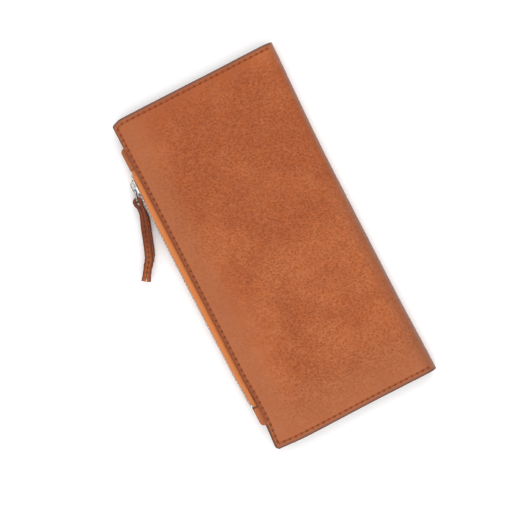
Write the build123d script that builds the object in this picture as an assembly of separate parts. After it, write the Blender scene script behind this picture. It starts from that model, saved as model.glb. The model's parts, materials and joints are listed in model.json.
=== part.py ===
from build123d import *
import math
import os

# Long wallet in pebbled leather: one cover folded along a long edge, card slots sewn inside both
# halves, and a zipped pocket between them that is held by the spine and closes at the open edge.
# X runs towards the spine, Y along the long side towards the closed end of the zip, Z up.
# The origin is the middle of the back cover's outer face. All sizes are millimetres.

os.makedirs("parts", exist_ok=True)

# Closed wallet
LENGTH = 190.0
THICKNESS = 12.0
OPEN_EDGE_X = -46.0
FOLD_START_X = 40.0
CORNER_R = 1.0
HALF = LENGTH / 2
MID_Z = THICKNESS / 2
SPINE_R = THICKNESS / 2
CUT_MARGIN = 1.0  # how far a cut runs past the open end of a piece

# Leather and lining
COVER_T = 1.4
LINING_T = 0.4
BILL_PANEL_T = 0.5
CARD_SLOT_T = 0.45
LINING_INSET = 1.2
PANEL_INSET = 0.8
PANEL_SPINE_X = 38.0
BILL_NOTCH = 4.0
CARD_SLOT_COUNT = 3
FIRST_SLOT_X = -33.0
SLOT_STEP = 11.0

# Cover stitching
STITCH_PITCH = 3.2
STITCH_LENGTH = 2.3
THREAD_W = 0.6
STITCH_DEPTH = 0.3
SIDE_INSET = 1.8
END_INSET = 2.6

# Zipped pocket, the page between the two covers
PAGE_HALF_T = 2.0
PAGE_HALF = 80.6
WALL_T = 0.9
WALL_EDGE_X = -43.5
RIM_W = 3.0
POCKET_LINING_T = 0.3
LINING_HALF = 67.0
HINGE_STRIP_T = 0.8
POCKET_STITCH_PITCH = 4.0
TAPE_SEAM_X = -41.5

# Zip, standing out of the open edge with its face towards -X
CHAIN_X = -48.4
TAPE_T = 0.4
TAPE_INNER_X = -38.2
LIP_X = -46.45
BULB_TOP = 3.6
TAPE_TOP_Y = 68.3
TAPE_BOTTOM_Y = -69.9
TAPE_TAIL = 10.0
TAPE_DIP = 1.0
TAPE_BEND_R = 0.4
TAPE_ROLL_R = 0.7
TOOTH_PITCH = 2.0
TOOTH_W = 0.95
TOOTH_T = 1.6
TOOTH_HEAD = 0.5
TOOTH_ROOT = 1.9
CHAIN_TOP_Y = 61.0
CHAIN_BOTTOM_Y = -67.0
STOP_W = 1.8
STOP_INNER = 0.6
STOP_OUTER = 2.2
TOP_STOP_Y = 65.3
BOTTOM_STOP_Y = -68.7

# Leather tabs over the ends of the zip
TAB_TOP = (68.3, 80.6)
TAB_BOTTOM = (-80.9, -69.9)
TAB_OUTER_X = -48.2
TAB_INNER_X = -38.0
TAB_R = 2.0
TAB_END_WALL = 1.0
TAB_SIDE_WALL = 1.0

# Slider
SLIDER_Y = 59.5
SLIDER_LENGTH = 8.8
SLIDER_WIDE = 3.3
SLIDER_NARROW = 2.6
PLATE_T = 0.6
CHANNEL = 1.8
FLANGE_W = 0.5
FLANGE_H = 0.5
NECK_W = 1.6
NECK_LENGTH = 2.2
TAIL_CORNER_R = 0.8
BRIDGE_LENGTH = 7.0
BRIDGE_W = 2.4
BRIDGE_RISE = 1.9
BRIDGE_T = 0.6
BRIDGE_FOOT = 1.3

# Pull: a wire link and a folded leather strap, both turning about Z
LINK_PIVOT = (-50.6, 58.6)
STRAP_PIVOT = (-52.3, 52.5)
LINK_WIRE = 1.0
LINK_INNER_W = 5.4
LINK_BEND_R = 1.2
STRAP_W = 5.0
STRAP_LOOP_END = (-52.0, 50.9)
STRAP_HEAD_R = 2.5
STRAP_HOLE_R = 1.1
STRAP_T = 4.2
STRAP_ROUTE = [STRAP_PIVOT, (-52.3, 44.9), (-54.6, 36.7), (-58.9, 25.0), (-66.5, 13.9)]
STRAP_BENDS = [12.0, 20.0, 16.0]
STRAP_STITCHES = 6
STRAP_STITCH_STEP = 4.2
STRAP_STITCH_START = 5.5
STRAP_STITCH_SIZE = 0.5
STRAP_STITCH_EDGE = 1.6


def block(x, y, z):
    """A box between two limits along each axis."""
    size = [high - low for low, high in (x, y, z)]
    middle = [(high + low) / 2 for low, high in (x, y, z)]
    return Pos(*middle) * Box(*size)


def group(solids):
    """Several separate solids kept together as one piece."""
    return Compound(children=[piece.solid() for piece in solids])


def upside_down(shape):
    """The same piece on the other side of the wallet's middle plane."""
    return mirror(shape, about=Plane.XY.offset(MID_Z))


def panel(x, half_y, z):
    """A flat panel with its two corners at the open edge rounded."""
    body = block(x, (-half_y, half_y), z)
    corners = body.edges().filter_by(Axis.Z).group_by(Axis.X)[0]
    return fillet(corners, CORNER_R)


def along_y(section, y):
    """A section drawn in X and Z, run from y[0] to y[1]."""
    return extrude(Plane.XZ.offset(-y[1]) * section, y[1] - y[0])


def evenly(start, end, pitch):
    """Positions spread evenly from start to end, about one pitch apart."""
    count = round(abs(end - start) / pitch)
    return [start + (end - start) * step / count for step in range(count + 1)]


# Covers -------------------------------------------------------------------------------------


def back_cover():
    return panel((OPEN_EDGE_X, FOLD_START_X), HALF, (0, COVER_T))


def back_lining():
    x = (OPEN_EDGE_X + LINING_INSET, FOLD_START_X)
    return panel(x, HALF - LINING_INSET, (COVER_T, COVER_T + LINING_T))


def back_bill_panel():
    """The full-length panel that makes the banknote pocket and carries the card slots."""
    low = COVER_T + LINING_T
    x = (OPEN_EDGE_X + BILL_NOTCH, PANEL_SPINE_X)
    return panel(x, HALF - LINING_INSET - PANEL_INSET, (low, low + BILL_PANEL_T))


def back_card_slot(step):
    """Each slot starts one step nearer to the spine and lies on the slot before it."""
    low = COVER_T + LINING_T + BILL_PANEL_T + step * CARD_SLOT_T
    x = (FIRST_SLOT_X + step * SLOT_STEP, PANEL_SPINE_X)
    y = HALF - LINING_INSET - PANEL_INSET
    return block(x, (-y, y), (low, low + CARD_SLOT_T))


def back_cover_stitching():
    """Thread along the three sewn edges, pressed flush into the outer face."""
    z = (0, STITCH_DEPTH)
    reach = STITCH_LENGTH / 2
    thread = THREAD_W / 2
    side_x = OPEN_EDGE_X + SIDE_INSET
    side_end = HALF - END_INSET - STITCH_PITCH
    stitches = [
        block((side_x - thread, side_x + thread), (y - reach, y + reach), z)
        for y in evenly(-side_end, side_end, STITCH_PITCH)
    ]
    for row_y in (-(HALF - END_INSET), HALF - END_INSET):
        stitches += [
            block((x - reach, x + reach), (row_y - thread, row_y + thread), z)
            for x in evenly(side_x + reach, FOLD_START_X - reach, STITCH_PITCH)
        ]
    return group(stitches)


def spine_shell(outer, inner, half_y):
    """A half tube that joins the two covers round the fold."""
    section = Circle(outer) - Circle(inner) - Pos(-outer, 0) * Rectangle(2 * outer, 2 * outer)
    return along_y(Pos(FOLD_START_X, MID_Z) * section, (-half_y, half_y))


def cover_spine():
    return spine_shell(SPINE_R, SPINE_R - COVER_T, HALF)


def spine_lining():
    outer = SPINE_R - COVER_T
    return spine_shell(outer, outer - LINING_T, HALF - LINING_INSET)


# Zipped pocket ------------------------------------------------------------------------------


def pocket_back_wall():
    """A leather wall with a raised rim, where it is sewn to the other wall on three sides."""
    low = MID_Z - PAGE_HALF_T
    high = low + WALL_T
    wall = panel((WALL_EDGE_X, PANEL_SPINE_X), PAGE_HALF, (low, high))
    rim_z = (high, MID_Z)
    rim = block((PANEL_SPINE_X - RIM_W, PANEL_SPINE_X), (-PAGE_HALF, PAGE_HALF), rim_z)
    for y in ((-PAGE_HALF, RIM_W - PAGE_HALF), (PAGE_HALF - RIM_W, PAGE_HALF)):
        rim += block((TAB_INNER_X, PANEL_SPINE_X), y, rim_z)
    return wall + rim


def pocket_lining():
    """A thin fabric bag, open towards the zip."""
    reach = PAGE_HALF_T - WALL_T
    x = (TAB_INNER_X, PANEL_SPINE_X - RIM_W)
    outer = block(x, (-LINING_HALF, LINING_HALF), (MID_Z - reach, MID_Z + reach))
    gap = reach - POCKET_LINING_T
    inside_y = LINING_HALF - POCKET_LINING_T
    inside_x = (x[0] - CUT_MARGIN, x[1] - POCKET_LINING_T)
    return outer - block(inside_x, (-inside_y, inside_y), (MID_Z - gap, MID_Z + gap))


def page_hinge_strip():
    """The leather strip that holds the pocket to the middle of the spine."""
    lining_r = SPINE_R - COVER_T - LINING_T
    half_t = HINGE_STRIP_T / 2
    spine_x = FOLD_START_X + math.sqrt(lining_r**2 - half_t**2)
    z = (MID_Z - half_t, MID_Z + half_t)
    return block((PANEL_SPINE_X, spine_x), (-PAGE_HALF, PAGE_HALF), z)


def pocket_stitching():
    """Thread through both walls at the rim, and through each wall and its tape at the mouth."""
    reach = STITCH_LENGTH / 2
    thread = THREAD_W / 2
    z = (MID_Z - PAGE_HALF_T, MID_Z + PAGE_HALF_T)
    rim_x = PANEL_SPINE_X - RIM_W / 2
    rim_y = PAGE_HALF - RIM_W / 2
    stitches = [
        block((rim_x - thread, rim_x + thread), (y - reach, y + reach), z)
        for y in evenly(-rim_y, rim_y, POCKET_STITCH_PITCH)
    ]
    for row_y in (-rim_y, rim_y):
        stitches += [
            block((x - reach, x + reach), (row_y - thread, row_y + thread), z)
            for x in evenly(TAB_INNER_X + RIM_W, rim_x - RIM_W, POCKET_STITCH_PITCH)
        ]
    seam_z = (MID_Z - PAGE_HALF_T, MID_Z - PAGE_HALF_T + WALL_T + TAPE_T)
    seam = [
        block((TAPE_SEAM_X - thread, TAPE_SEAM_X + thread), (y - reach, y + reach), seam_z)
        for y in evenly(TAPE_BOTTOM_Y + RIM_W, TAPE_TOP_Y - RIM_W, POCKET_STITCH_PITCH)
    ]
    stitches += seam + [upside_down(stitch) for stitch in seam]
    return group(stitches)


def end_tab(y, closed_end):
    """Leather folded over the end of the zip, open towards the teeth and the pocket."""
    reach = PAGE_HALF_T - WALL_T
    body = block((TAB_OUTER_X, TAB_INNER_X), y, (MID_Z - reach, MID_Z + reach))
    outer_corner = body.edges().filter_by(Axis.Z).group_by(Axis.X)[0].sort_by(Axis.Y)
    body = fillet(outer_corner[-1 if closed_end > 0 else 0], TAB_R)
    if closed_end > 0:
        slot_y = (y[0] - CUT_MARGIN, y[1] - TAB_END_WALL)
    else:
        slot_y = (y[0] + TAB_END_WALL, y[1] + CUT_MARGIN)
    slot_x = (TAB_OUTER_X + TAB_SIDE_WALL, TAB_INNER_X + CUT_MARGIN)
    return body - block(slot_x, slot_y, (MID_Z - TAPE_T, MID_Z + TAPE_T))


# Zip ----------------------------------------------------------------------------------------


def zipper_tape_front():
    """Woven tape: sewn flat under the wall, rolled out over the edge, and down to the teeth."""
    run_z = MID_Z + PAGE_HALF_T - WALL_T - TAPE_T / 2
    top_z = MID_Z + BULB_TOP
    route = FilletPolyline(
        (TAPE_INNER_X, run_z),
        (LIP_X, run_z),
        (LIP_X, top_z),
        (CHAIN_X, top_z),
        (CHAIN_X, MID_Z + TOOTH_ROOT),
        radius=[TAPE_BEND_R, TAPE_ROLL_R, TAPE_ROLL_R],
    )
    tape = along_y(trace(route, TAPE_T), (TAPE_BOTTOM_Y, TAPE_TOP_Y))
    tail_x = (TAB_OUTER_X + TAB_SIDE_WALL + TAPE_T, TAPE_INNER_X)
    dip_x = (LIP_X + TAPE_T, TAPE_INNER_X)
    tail_z = (MID_Z, MID_Z + TAPE_T)
    dip_z = (MID_Z, run_z + TAPE_T / 2)
    tape += block(dip_x, (TAPE_TOP_Y - TAPE_DIP, TAPE_TOP_Y), dip_z)
    tape += block(tail_x, (TAPE_TOP_Y - TAPE_DIP, TAPE_TOP_Y + TAPE_TAIL), tail_z)
    tape += block(dip_x, (TAPE_BOTTOM_Y, TAPE_BOTTOM_Y + TAPE_DIP), dip_z)
    tape += block(tail_x, (TAPE_BOTTOM_Y - TAPE_TAIL, TAPE_BOTTOM_Y + TAPE_DIP), tail_z)
    return tape


def tooth_row(first_y):
    """One row of teeth, each reaching past the middle into the other row's gaps."""
    count = int((CHAIN_TOP_Y - CHAIN_BOTTOM_Y) / TOOTH_PITCH)
    x = (CHAIN_X - TOOTH_T / 2, CHAIN_X + TOOTH_T / 2)
    z = (MID_Z - TOOTH_HEAD, MID_Z + TOOTH_ROOT)
    places = [first_y + step * TOOTH_PITCH for step in range(count)]
    return group([block(x, (y - TOOTH_W / 2, y + TOOTH_W / 2), z) for y in places])


def zipper_teeth_front():
    return tooth_row(CHAIN_BOTTOM_Y + TOOTH_PITCH / 2)


def zipper_teeth_back():
    return upside_down(tooth_row(CHAIN_BOTTOM_Y))


def stop(y, z):
    """A metal clip closed over the edge of the tape."""
    x = (CHAIN_X - TOOTH_T / 2, CHAIN_X + TOOTH_T / 2)
    return block(x, (y - STOP_W / 2, y + STOP_W / 2), z)


def top_stops():
    front = stop(TOP_STOP_Y, (MID_Z + STOP_INNER, MID_Z + TOOTH_ROOT))
    return group([front, upside_down(front)])


def bottom_stop():
    return stop(BOTTOM_STOP_Y, (MID_Z - TOOTH_ROOT, MID_Z + TOOTH_ROOT))


def slider_outline():
    """Half the slider is wide, where the two rows come in, and it narrows behind them."""
    top = SLIDER_LENGTH / 2
    points = [
        (top, -SLIDER_WIDE),
        (top, SLIDER_WIDE),
        (0, SLIDER_WIDE),
        (-top, SLIDER_NARROW),
        (-top, -SLIDER_NARROW),
        (0, -SLIDER_WIDE),
    ]
    face = make_face(Polyline(*points, close=True))
    tail = face.vertices().filter_by_position(Axis.X, -top, -top / 2)
    return fillet(tail, TAIL_CORNER_R)


def slider_body():
    """Two plates with turned-in flanges, joined by the neck that parts the rows."""
    side = Plane(origin=(CHAIN_X, SLIDER_Y, MID_Z), x_dir=(0, 1, 0), z_dir=(-1, 0, 0))
    outline = slider_outline()
    rim = outline - offset(outline, -FLANGE_W)
    end_cut = 2 * CUT_MARGIN
    rim -= Pos(SLIDER_LENGTH / 2, 0) * Rectangle(end_cut, 2 * SLIDER_WIDE - 2 * FLANGE_W)
    rim -= Pos(-SLIDER_LENGTH / 2, 0) * Rectangle(end_cut, 2 * SLIDER_NARROW - 2 * FLANGE_W)
    gap = CHANNEL / 2
    body = extrude(side.offset(gap) * outline, PLATE_T)
    body += extrude(side.offset(-gap) * outline, -PLATE_T)
    body += extrude(side.offset(gap) * rim, -FLANGE_H)
    body += extrude(side.offset(-gap) * rim, FLANGE_H)
    neck_y = SLIDER_Y + SLIDER_LENGTH / 2
    neck_x = (CHAIN_X - gap, CHAIN_X + gap)
    neck_z = (MID_Z - NECK_W / 2, MID_Z + NECK_W / 2)
    return body + block(neck_x, (neck_y - NECK_LENGTH, neck_y), neck_z)


def slider_bridge():
    """The arch on the slider's face that the link hangs on."""
    base_x = CHAIN_X - CHANNEL / 2 - PLATE_T
    y = (SLIDER_Y - BRIDGE_LENGTH / 2, SLIDER_Y + BRIDGE_LENGTH / 2)
    z = (MID_Z - BRIDGE_W / 2, MID_Z + BRIDGE_W / 2)
    arch = block((base_x - BRIDGE_RISE, base_x), y, z)
    corners = arch.edges().filter_by(Axis.Z).group_by(Axis.X)[0]
    arch = fillet(corners, BRIDGE_RISE / 2)
    hole_y = (y[0] + BRIDGE_FOOT, y[1] - BRIDGE_FOOT)
    return arch - block((base_x - BRIDGE_RISE + BRIDGE_T, base_x), hole_y, z)


# Pull ---------------------------------------------------------------------------------------


def pull_link():
    """A round wire ring that stands on edge: one bar in the bridge and one in the strap."""
    run_x = STRAP_PIVOT[0] - LINK_PIVOT[0]
    run_y = STRAP_PIVOT[1] - LINK_PIVOT[1]
    reach = math.hypot(run_x, run_y)
    middle = ((LINK_PIVOT[0] + STRAP_PIVOT[0]) / 2, (LINK_PIVOT[1] + STRAP_PIVOT[1]) / 2, MID_Z)
    across = (run_y / reach, -run_x / reach, 0)
    face = Plane(origin=middle, x_dir=(run_x / reach, run_y / reach, 0), z_dir=across)
    ring = (face * RectangleRounded(reach, LINK_INNER_W + LINK_WIRE, LINK_BEND_R)).wire()
    section = Plane(origin=ring @ 0, z_dir=ring % 0) * Circle(LINK_WIRE / 2)
    return sweep(section, path=ring)


def strap_path():
    """The middle line of the strap from the link's bar to its loose end."""
    return FilletPolyline(*STRAP_ROUTE, radius=STRAP_BENDS)


def pull_strap():
    """A leather strip folded in half round the link, seen on edge from above."""
    bottom = Plane.XY.offset(MID_Z - STRAP_W / 2)
    middle = [(bar + end) / 2 for bar, end in zip(STRAP_PIVOT, STRAP_LOOP_END)]
    head = SlotCenterPoint(middle, STRAP_PIVOT, 2 * STRAP_HEAD_R)
    hole = SlotCenterPoint(middle, STRAP_PIVOT, 2 * STRAP_HOLE_R)
    section = trace(strap_path(), STRAP_T) + head - hole
    return extrude(bottom * section, STRAP_W)


def strap_stitching():
    """Two rows of thread that sew the strap's two layers together."""
    route = strap_path()
    stitches = []
    for step in range(STRAP_STITCHES):
        distance = STRAP_STITCH_START + step * STRAP_STITCH_STEP
        place = route.location_at(distance, position_mode=PositionMode.LENGTH)
        tangent = route.tangent_at(distance, position_mode=PositionMode.LENGTH)
        turn = math.degrees(math.atan2(tangent.Y, tangent.X))
        for side in (-1, 1):
            at = Pos(place.position.X, place.position.Y, MID_Z + side * STRAP_STITCH_EDGE)
            thread = Box(STITCH_LENGTH, STRAP_T, STRAP_STITCH_SIZE)
            stitches.append(at * Rot(0, 0, turn) * thread)
    return group(stitches)


# Write every piece --------------------------------------------------------------------------

pieces = {
    "back_cover": back_cover(),
    "back_lining": back_lining(),
    "back_bill_panel": back_bill_panel(),
    "back_cover_stitching": back_cover_stitching(),
}
for slot in range(CARD_SLOT_COUNT):
    pieces[f"back_card_slot_{slot + 1}"] = back_card_slot(slot)
for name in list(pieces):
    pieces[name.replace("back", "front")] = upside_down(pieces[name])

pieces["cover_spine"] = cover_spine()
pieces["spine_lining"] = spine_lining()
pieces["pocket_back_wall"] = pocket_back_wall()
pieces["pocket_front_wall"] = upside_down(pieces["pocket_back_wall"])
pieces["pocket_lining"] = pocket_lining()
pieces["pocket_stitching"] = pocket_stitching()
pieces["page_hinge_strip"] = page_hinge_strip()
pieces["top_end_tab"] = end_tab(TAB_TOP, 1)
pieces["bottom_end_tab"] = end_tab(TAB_BOTTOM, -1)
pieces["zipper_tape_front"] = zipper_tape_front()
pieces["zipper_tape_back"] = upside_down(pieces["zipper_tape_front"])
pieces["zipper_teeth_front"] = zipper_teeth_front()
pieces["zipper_teeth_back"] = zipper_teeth_back()
pieces["top_stops"] = top_stops()
pieces["bottom_stop"] = bottom_stop()
pieces["slider_body"] = slider_body()
pieces["slider_bridge"] = slider_bridge()
pieces["pull_link"] = pull_link()
pieces["pull_strap"] = pull_strap()
pieces["strap_stitching"] = strap_stitching()

for name, shape in pieces.items():
    export_step(shape, f"parts/{name}.step")
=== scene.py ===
import json
import random
from math import atan2, copysign, cos, pi, radians, sin

import bmesh
import bpy
import numpy as np
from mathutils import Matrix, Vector


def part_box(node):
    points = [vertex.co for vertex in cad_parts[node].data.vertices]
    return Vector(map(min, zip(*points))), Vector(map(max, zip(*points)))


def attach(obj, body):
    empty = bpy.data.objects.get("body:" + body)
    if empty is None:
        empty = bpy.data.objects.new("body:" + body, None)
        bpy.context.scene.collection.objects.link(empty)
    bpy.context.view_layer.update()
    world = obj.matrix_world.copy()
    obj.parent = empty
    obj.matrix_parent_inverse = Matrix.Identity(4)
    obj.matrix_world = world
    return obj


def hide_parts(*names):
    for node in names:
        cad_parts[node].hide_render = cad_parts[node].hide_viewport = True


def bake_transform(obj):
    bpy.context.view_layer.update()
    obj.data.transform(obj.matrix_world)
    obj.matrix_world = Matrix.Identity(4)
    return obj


# Long leather wallet with a zipped middle pocket. Lengths below are millimetres in the model's own
# frame, and become metres where a mesh is made. "q" is the distance along the cover leather: it is X
# on the flat panels and runs on round the fold to the middle of the spine.

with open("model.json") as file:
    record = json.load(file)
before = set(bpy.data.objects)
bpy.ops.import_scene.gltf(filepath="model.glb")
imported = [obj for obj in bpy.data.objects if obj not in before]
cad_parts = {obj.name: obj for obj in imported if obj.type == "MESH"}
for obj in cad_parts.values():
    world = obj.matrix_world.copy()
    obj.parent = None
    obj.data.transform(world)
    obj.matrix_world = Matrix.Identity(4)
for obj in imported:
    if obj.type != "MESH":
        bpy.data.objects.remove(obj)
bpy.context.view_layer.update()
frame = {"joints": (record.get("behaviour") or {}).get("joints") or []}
random.seed(7)

MM = 0.001
SIDES = ((1, "front"), (-1, "back"))


def box(node):
    """The lowest and highest corners of a node's box, in millimetres."""
    return [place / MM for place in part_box(node)]


def joint(name):
    return next(j for j in frame["joints"] if j["name"] == name)


def pivot(name):
    """A joint's place, in millimetres."""
    return Vector(joint(name)["pos_m"]) / MM


# Sizes read from the frame

COVER_LOW, COVER_HIGH = box("front_cover")
LINING_LOW, LINING_HIGH = box("front_lining")
TEETH_LOW, TEETH_HIGH = box("zipper_teeth_front")
OPEN_X = COVER_LOW.x
FOLD_X = COVER_HIGH.x
HALF = COVER_HIGH.y
TOP_Z = COVER_HIGH.z
MID_Z = TOP_Z / 2
COVER_T = TOP_Z - COVER_LOW.z
LINING_T = COVER_T + LINING_HIGH.z - LINING_LOW.z
SPINE_Q = FOLD_X + MID_Z * pi / 2
STITCH_PITCH = 3.2
SIDE_ROW_Q = OPEN_X + 1.8
END_ROW_Y = HALF - 2.6
END_ROW_Q = SIDE_ROW_Q + STITCH_PITCH / 2
CHAIN_X = (TEETH_LOW.x + TEETH_HIGH.x) / 2
TOOTH_T = TEETH_HIGH.x - TEETH_LOW.x
LIP = pivot("front_lip_roll")
TAB_TOP_Y = box("top_end_tab")[0].y
TAB_BOTTOM_Y = box("bottom_end_tab")[1].y


# Curves and grids


def smooth(low, high, value):
    """0 below low, 1 above high, and an even S between them. low may be the larger."""
    t = np.clip((np.asarray(value, float) - low) / (high - low), 0, 1)
    return t * t * (3 - 2 * t)


def hump(value, place, width):
    """1 at the place, falling away to nothing over about twice the width."""
    return np.exp(-(((value - place) / width) ** 2))


def grid(across, along):
    return np.meshgrid(across, along, indexing="ij")


def unit(vectors):
    return vectors / np.linalg.norm(vectors, axis=-1, keepdims=True)


def tangents(path):
    return unit(np.gradient(path, axis=0))


def leftward(path):
    """Unit vectors to the left of a flat path."""
    tangent = tangents(path)
    return np.stack([-tangent[:, 1], tangent[:, 0]], -1)


def run_along(path):
    """The distance gone at each point of a path."""
    return np.concatenate([[0], np.cumsum(np.linalg.norm(np.diff(path, axis=0), axis=1))])


def smooth_path(points, count):
    """Evenly spaced points on a smooth curve through the given ones."""
    points = [np.asarray(p, float) for p in points]
    points = [2 * points[0] - points[1]] + points + [2 * points[-1] - points[-2]]
    fine = []
    for a, b, c, d in zip(points, points[1:], points[2:], points[3:]):
        square, cube = 2 * a - 5 * b + 4 * c - d, 3 * b - a - 3 * c + d
        for t in np.linspace(0, 1, 40, endpoint=False):
            fine.append(0.5 * (2 * b + (c - a) * t + square * t**2 + cube * t**3))
    fine = np.array(fine + [points[-2]])
    length = run_along(fine)
    wanted = np.linspace(0, length[-1], count)
    return np.stack([np.interp(wanted, length, axis) for axis in fine.T], -1)


def stations(low, high, step, edge=(0,)):
    """Places from low to high about one step apart, closer together near both ends."""
    inner_low, inner_high = low + edge[-1], high - edge[-1]
    count = max(1, round((inner_high - inner_low) / step))
    margin = np.array(edge[:-1])
    return np.concatenate([low + margin, np.linspace(inner_low, inner_high, count + 1), high - margin[::-1]])


def edge_round(distance, radius):
    """How deep the rounded lip of a cut edge lies, this far in from the edge."""
    inside = np.clip(radius - distance, 0, radius)
    return radius - np.sqrt(radius**2 - inside**2)


# Mesh helpers


def placed(name, data):
    """A new object in the scene."""
    obj = bpy.data.objects.new(name, data)
    bpy.context.scene.collection.objects.link(obj)
    return obj


def mesh_object(name, vertices, faces, sharp_angle=40):
    """An object with its faces turned outwards and its sharp corners kept. Vertices are millimetres."""
    mesh = bpy.data.meshes.new(name)
    mesh.from_pydata((np.asarray(vertices, float) * MM).tolist(), [], faces)
    work = bmesh.new()
    work.from_mesh(mesh)
    bmesh.ops.recalc_face_normals(work, faces=work.faces)
    work.to_mesh(mesh)
    work.free()
    mesh.shade_smooth()
    mesh.set_sharp_from_angle(angle=radians(sharp_angle))
    return placed(name, mesh)


def store(obj, name, values):
    """Keeps a number or a vector on each vertex, for the materials to read."""
    values = np.asarray(values, np.float32)
    kind, field = ("FLOAT", "value") if values.ndim == 1 else ("FLOAT_VECTOR", "vector")
    obj.data.attributes.new(name, kind, "POINT").data.foreach_set(field, values.ravel())


def closed_grid(name, outer, inner, flat=None, flat_gap=0.0, sharp_angle=40):
    """A closed thin solid between two grids of points of the same size. Its materials follow 'flat',
    which is each point's place on the flat sheet, or else its place in the wallet."""
    rows, columns = outer.shape[:2]
    count = rows * columns
    index = np.arange(count).reshape(rows, columns)
    quads = np.stack([index[:-1, :-1], index[1:, :-1], index[1:, 1:], index[:-1, 1:]], -1).reshape(-1, 4)
    faces = quads.tolist() + (quads[:, ::-1] + count).tolist()
    ring = [*index[:, 0], *index[-1, 1:], *index[-2::-1, -1], *index[0, -2:0:-1]]
    for here, there in zip(ring, ring[1:] + ring[:1]):
        faces.append([int(here), int(here + count), int(there + count), int(there)])
    vertices = np.concatenate([outer, inner])
    obj = mesh_object(name, vertices.reshape(-1, 3), faces, sharp_angle)
    both = vertices if flat is None else np.concatenate([flat, flat + (0, 0, flat_gap)])
    store(obj, "flat", both.reshape(-1, 3))
    return obj


def ring_faces(rows, sides, closed=False):
    """Faces that join rings of points, with a cap on each end unless the last meets the first."""
    faces = []
    for row in range(rows if closed else rows - 1):
        here, there = row * sides, (row + 1) % rows * sides
        for k in range(sides):
            right = (k + 1) % sides
            faces.append([here + k, here + right, there + right, there + k])
    if not closed:
        faces.append(list(range(sides))[::-1])
        faces.append([(rows - 1) * sides + k for k in range(sides)])
    return faces


def tube(path, radius, sides=8, closed=False, ends=1.0):
    """Vertices and faces of a round wire along a path. ends below 1 narrows its two ends."""
    path = np.asarray(path, float)
    tangent = unit(np.roll(path, -1, 0) - np.roll(path, 1, 0)) if closed else tangents(path)
    guide = np.array([0.0, 0.0, 1.0])
    if abs(tangent[:, 2]).max() > 0.95:
        guide = np.array([0.31, 0.94, 0.13])
    side = unit(np.cross(tangent, guide))
    up = np.cross(side, tangent)
    radii = np.full(len(path), radius)
    if not closed:
        radii[[0, -1]] *= ends
    turn = np.linspace(0, 2 * pi, sides, endpoint=False)[:, None]
    spokes = side[:, None] * np.cos(turn) + up[:, None] * np.sin(turn)
    rings = path[:, None] + spokes * radii[:, None, None]
    return rings.reshape(-1, 3), ring_faces(len(path), sides, closed)


def joined(name, parts):
    """One object from several (vertices, faces) pairs."""
    vertices, faces, start = [], [], 0
    for part_vertices, part_faces in parts:
        vertices.append(np.asarray(part_vertices, float))
        faces += [[v + start for v in face] for face in part_faces]
        start += len(part_vertices)
    obj = mesh_object(name, np.concatenate(vertices), faces)
    store(obj, "flat", np.concatenate(vertices))
    return obj


def prism(outline, base, along, width, segments=2):
    """(vertices, faces) of an outline pushed along a vector, with every edge softened.
    outline is a list of 3-D points in one plane, in order."""
    work = bmesh.new()
    low = [work.verts.new(Vector(base) + Vector(p)) for p in outline]
    high = [work.verts.new(vertex.co + Vector(along)) for vertex in low]
    work.faces.new(low[::-1])
    work.faces.new(high)
    for i in range(len(outline)):
        k = (i + 1) % len(outline)
        work.faces.new([low[i], low[k], high[k], high[i]])
    bmesh.ops.recalc_face_normals(work, faces=work.faces)
    shape = {"profile": 0.5, "affect": "EDGES", "clamp_overlap": True}
    bmesh.ops.bevel(work, geom=list(work.edges), offset=width, segments=segments, **shape)
    work.verts.index_update()
    vertices = [tuple(v.co) for v in work.verts]
    faces = [[v.index for v in f.verts] for f in work.faces]
    work.free()
    return vertices, faces


def upright(outline):
    """3-D points of an outline given as (Y, Z)."""
    return [(0, y, z) for y, z in outline]


# Materials


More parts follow.
